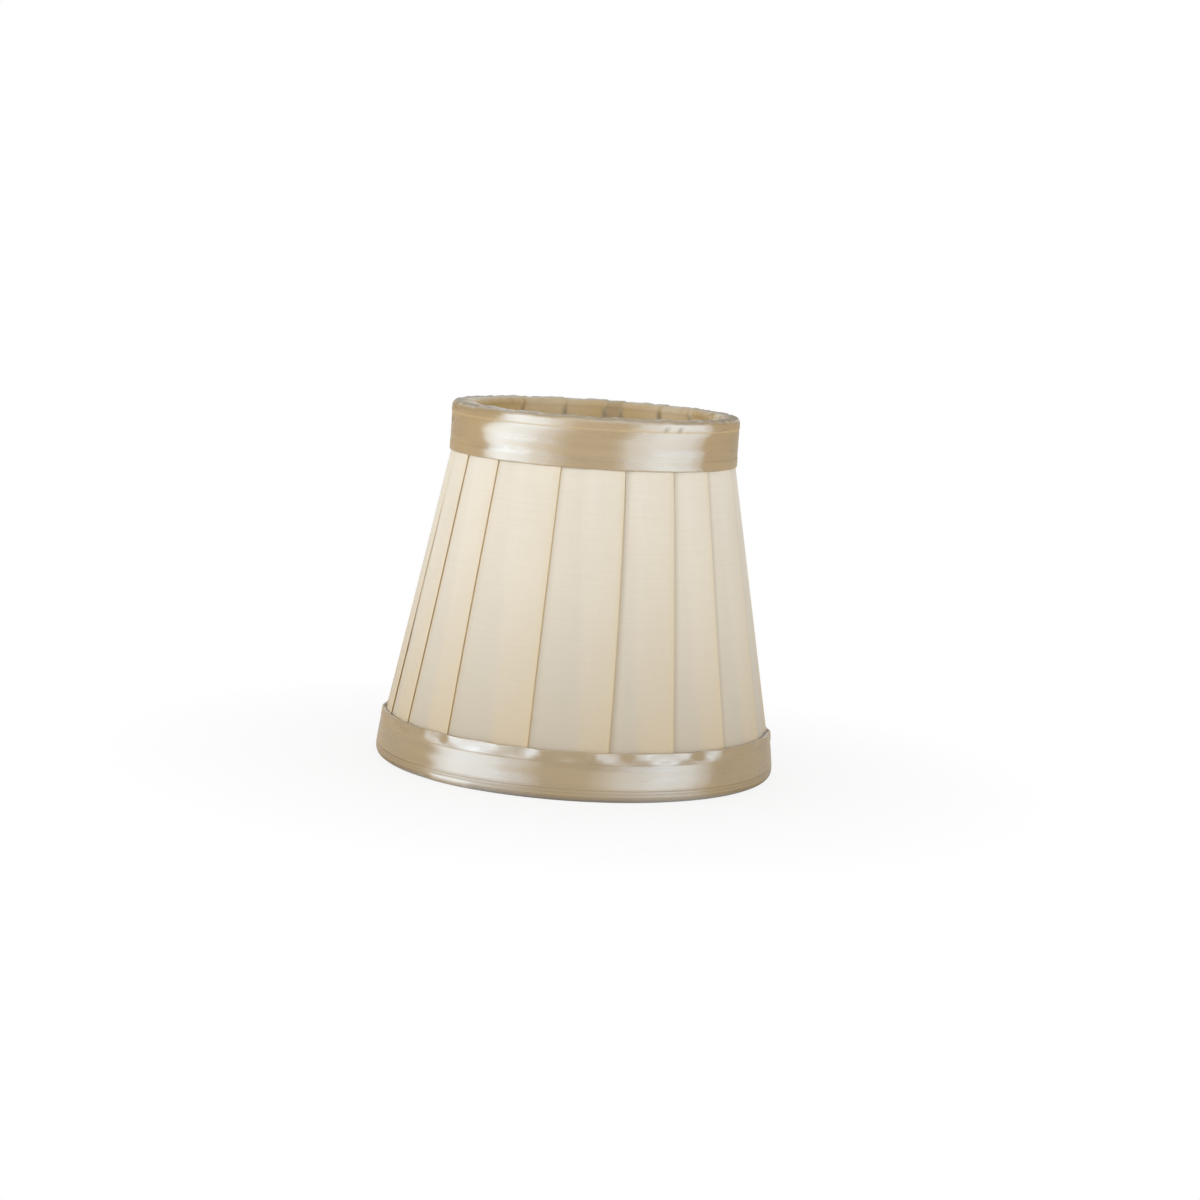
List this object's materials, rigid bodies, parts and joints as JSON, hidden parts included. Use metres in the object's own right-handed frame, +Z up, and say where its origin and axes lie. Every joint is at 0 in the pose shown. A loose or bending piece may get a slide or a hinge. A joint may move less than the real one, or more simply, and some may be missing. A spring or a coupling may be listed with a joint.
{
  "type": "clip-on candle lampshade",
  "caption": "Small tapered lampshade of knife-pleated cloth bound with satin ribbon, on a wire frame with a tilting, sprung clip that grips a candle bulb.",
  "frame": {"origin": "under the centre of the lower rim, on the plane that the shade stands on", "axes": "+Z up along the shade's axis, -Y towards the front that the picture shows, X along the clip's crossbar"},
  "size_m": [0.1392, 0.1392, 0.125],
  "materials": {
    "pleated_cloth": "fine plain weave, cream",
    "satin_ribbon": "champagne satin",
    "lining_cloth": "plain white weave",
    "frame_wire": "white enamel on steel wire",
    "clip_metal": "brass plate on spring steel"
  },
  "bodies": {
    "shade": {"pleated_cover": "pleated_cloth", "top_trim": "satin_ribbon", "bottom_trim": "satin_ribbon", "lining": "lining_cloth", "top_ring": "frame_wire", "bottom_ring": "frame_wire", "rib_1": "frame_wire", "rib_2": "frame_wire", "rib_3": "frame_wire", "rib_4": "frame_wire", "rib_5": "frame_wire", "rib_6": "frame_wire", "clip_crossbar": "frame_wire"},
    "clip": {"clip_saddle": "clip_metal"},
    "front_loop": {"front_clip_loop": "clip_metal"},
    "rear_loop": {"rear_clip_loop": "clip_metal"}
  },
  "joints": [
    {"name": "clip_tilt", "type": "hinge", "parent": "shade", "child": "clip", "pos_m": [0, 0, 0.1], "axis": [1, 0, 0], "range_deg": [-25, 25]},
    {"name": "front_loop_flex", "type": "hinge", "parent": "clip", "child": "front_loop", "pos_m": [0, -0.0036, 0.097], "axis": [-1, 0, 0], "range_deg": [0, 12], "stiffness_Nm_per_rad": 0.3},
    {"name": "rear_loop_flex", "type": "hinge", "parent": "clip", "child": "rear_loop", "pos_m": [0, 0.0036, 0.097], "axis": [1, 0, 0], "range_deg": [0, 12], "stiffness_Nm_per_rad": 0.3}
  ]
}
